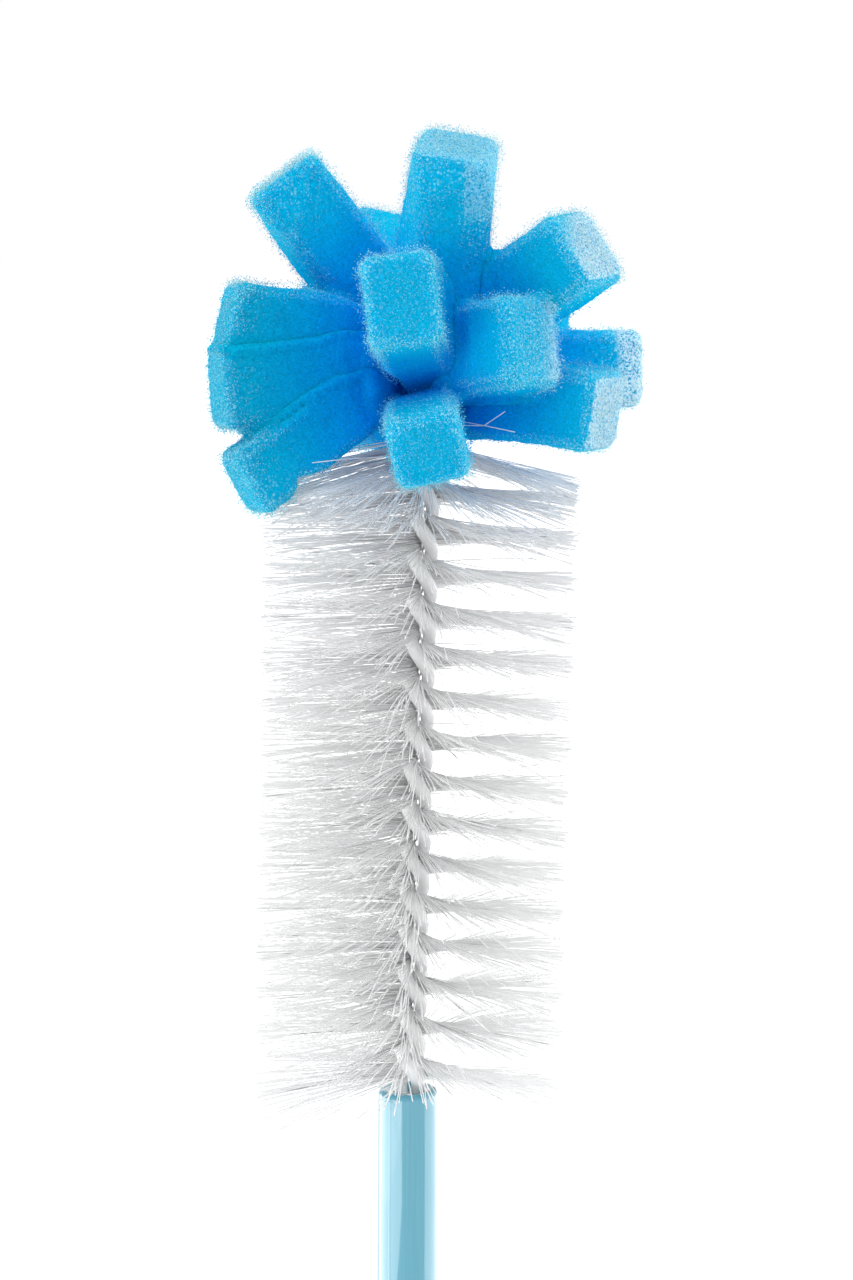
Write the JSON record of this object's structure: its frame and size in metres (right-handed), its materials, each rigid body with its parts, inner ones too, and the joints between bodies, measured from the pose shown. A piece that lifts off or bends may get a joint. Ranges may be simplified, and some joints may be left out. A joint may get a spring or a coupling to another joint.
{
  "type": "bottle brush",
  "caption": "Bottle brush: foam strips and nylon bristles clamped in a twisted, plastic-coated wire stem, set in a tapered hollow plastic handle with a hanging hole.",
  "frame": {"origin": "centre of the flat end of the handle's end plug", "axes": "+Z along the handle towards the foam head, +X to the right and +Y away from the viewer as in the picture"},
  "size_m": [0.0701, 0.0711, 0.2987],
  "materials": {
    "handle_plastic": "gloss",
    "wire_vinyl": "satin",
    "wire_steel": "satin",
    "nylon": "satin",
    "foam": "matte"
  },
  "bodies": {
    "root": {"handle": "handle_plastic", "handle_end_plug": "handle_plastic", "wire_coating": "wire_vinyl", "wire_steel_core": "wire_steel", "bristle_section_1": "nylon", "bristle_section_2": "nylon", "bristle_section_3": "nylon", "bristle_section_4": "nylon", "foam_strip_1": "foam", "foam_strip_2": "foam", "foam_strip_3": "foam", "foam_strip_4": "foam", "foam_strip_5": "foam", "foam_strip_6": "foam", "foam_strip_7": "foam", "foam_strip_8": "foam", "foam_strip_9": "foam"}
  },
  "joints": []
}
